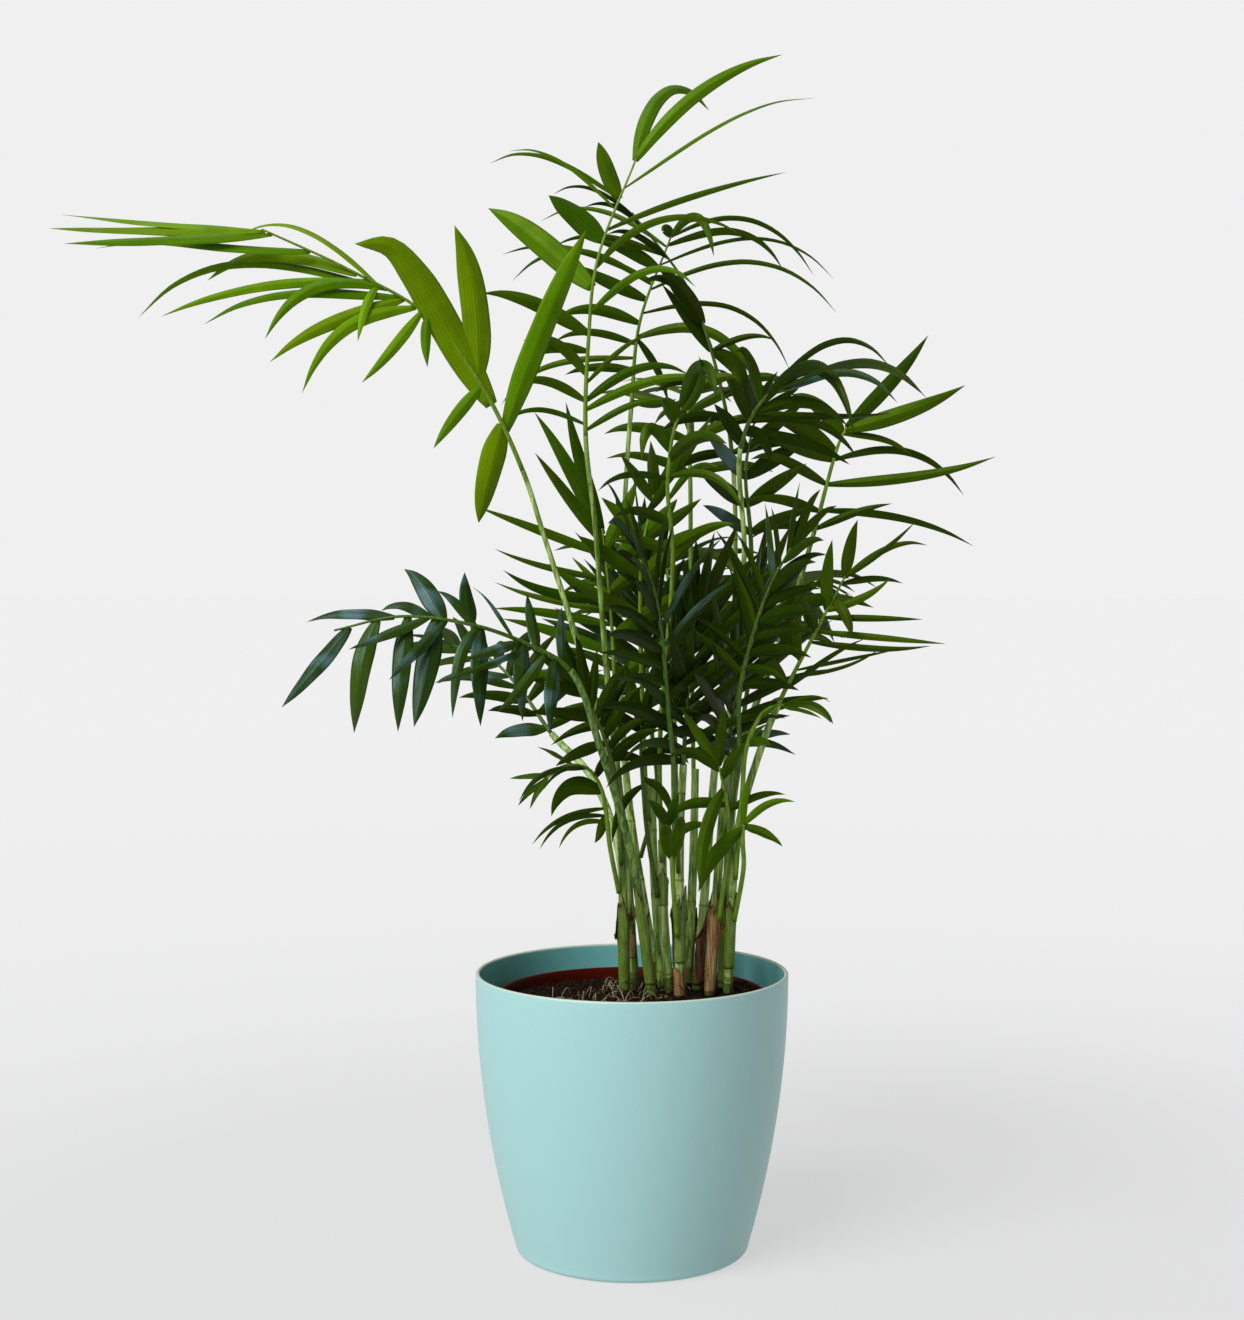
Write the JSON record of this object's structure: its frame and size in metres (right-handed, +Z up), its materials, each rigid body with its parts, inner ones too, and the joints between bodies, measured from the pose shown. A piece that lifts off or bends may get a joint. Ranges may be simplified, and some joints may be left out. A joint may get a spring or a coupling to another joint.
{
  "type": "potted parlour palm",
  "caption": "Parlour palm in a round flared cover pot: a clump of slim upright canes with arching feather fronds, rooted in soil in an inner nursery pot; a decorative indoor plant.",
  "frame": {"origin": "centre of the cover pot's flat underside, on the floor", "axes": "+Z up along the pot's axis, -Y towards the front that the picture shows, +X to the right in the picture"},
  "size_m": [0.6293, 0.4751, 0.8379],
  "materials": {
    "pot": "satin",
    "nursery_pot": "matt",
    "soil": "rough",
    "cane": "satin",
    "young_leaf": "satin",
    "green_leaf": "satin",
    "dark_leaf": "satin"
  },
  "bodies": {
    "root": {"cane_01": "cane", "cane_02": "cane", "cane_03": "cane", "cane_04": "cane", "cane_05": "cane", "cane_06": "cane", "cane_07": "cane", "cane_08": "cane", "cane_09": "cane", "cane_10": "cane", "cane_11": "cane", "cane_12": "cane", "cane_13": "cane", "cane_14": "cane", "cane_15": "cane", "frond_arching_left": "dark_leaf", "frond_arching_right": "dark_leaf", "frond_centre_front": "green_leaf", "frond_centre_right": "dark_leaf", "frond_centre_slim": "green_leaf", "frond_crest_back": "dark_leaf", "frond_crest_bent": "dark_leaf", "frond_foot_centre": "dark_leaf", "frond_foot_front": "young_leaf", "frond_foot_left": "dark_leaf", "frond_foot_middle": "young_leaf", "frond_foot_right": "young_leaf", "frond_front": "dark_leaf", "frond_front_right": "dark_leaf", "frond_heart_back": "dark_leaf", "frond_heart_front": "dark_leaf", "frond_heart_left": "green_leaf", "frond_heart_right": "dark_leaf", "frond_long_left": "young_leaf", "frond_low_left": "green_leaf", "frond_low_right": "green_leaf", "frond_mid_right": "green_leaf", "frond_rear": "dark_leaf", "frond_rear_high": "green_leaf", "frond_rear_left": "dark_leaf", "frond_rear_right": "dark_leaf", "frond_top": "green_leaf", "frond_upper_right": "green_leaf", "nursery_pot": "nursery_pot", "pot": "pot", "soil": "soil"}
  },
  "joints": []
}
